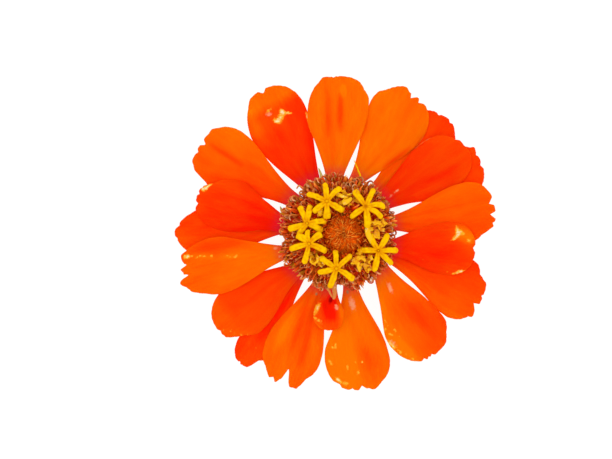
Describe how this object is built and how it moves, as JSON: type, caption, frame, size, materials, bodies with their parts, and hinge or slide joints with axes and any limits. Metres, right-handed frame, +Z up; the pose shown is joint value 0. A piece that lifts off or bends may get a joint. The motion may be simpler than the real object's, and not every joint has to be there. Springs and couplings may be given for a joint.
{
  "type": "zinnia flower",
  "caption": "Single orange zinnia flower head, picked just under the head, with overlapping rays round a brown disc with open yellow florets; rests face up on its flat base.",
  "frame": {"origin": "on the head's axis, in the flat face under the receptacle that the head rests on", "axes": "+Z up along the head's axis, from the face it rests on to the disc; +X and +Y lie in that face, with the bearing of each ray counted from +X towards +Y"},
  "size_m": [0.0643, 0.063, 0.0184],
  "materials": {
    "orange_ray": "satin",
    "red_ray": "satin",
    "yellow_floret": "satin",
    "withered_floret": "matte",
    "chaff": "matte",
    "bud": "satin",
    "green_bract": "satin",
    "receptacle": "satin"
  },
  "bodies": {
    "root": {"receptacle": "receptacle", "bract_01": "green_bract", "bract_02": "green_bract", "bract_03": "green_bract", "bract_04": "green_bract", "bract_05": "green_bract", "bract_06": "green_bract", "bract_07": "green_bract", "bract_08": "green_bract", "bract_09": "green_bract", "bract_10": "green_bract", "bract_11": "green_bract", "bract_12": "green_bract", "bract_13": "green_bract", "bract_14": "green_bract", "bract_15": "green_bract", "bract_16": "green_bract", "bract_17": "green_bract", "bract_18": "green_bract", "ray_01": "orange_ray", "ray_02": "orange_ray", "ray_03": "red_ray", "ray_04": "red_ray", "ray_05": "red_ray", "ray_06": "red_ray", "ray_07": "red_ray", "ray_08": "red_ray", "ray_09": "orange_ray", "ray_10": "orange_ray", "ray_11": "red_ray", "ray_12": "orange_ray", "ray_13": "red_ray", "ray_14": "red_ray", "ray_15": "orange_ray", "ray_16": "red_ray", "ray_17": "red_ray", "ray_18": "orange_ray", "ray_19": "red_ray", "disc_chaff": "chaff", "bud_whorl": "bud", "star_floret_01": "yellow_floret", "star_floret_02": "yellow_floret", "star_floret_03": "yellow_floret", "star_floret_04": "yellow_floret", "star_floret_05": "yellow_floret", "star_floret_06": "yellow_floret", "withered_floret_01": "withered_floret", "withered_floret_02": "withered_floret", "withered_floret_03": "withered_floret", "withered_floret_04": "withered_floret"}
  },
  "joints": []
}
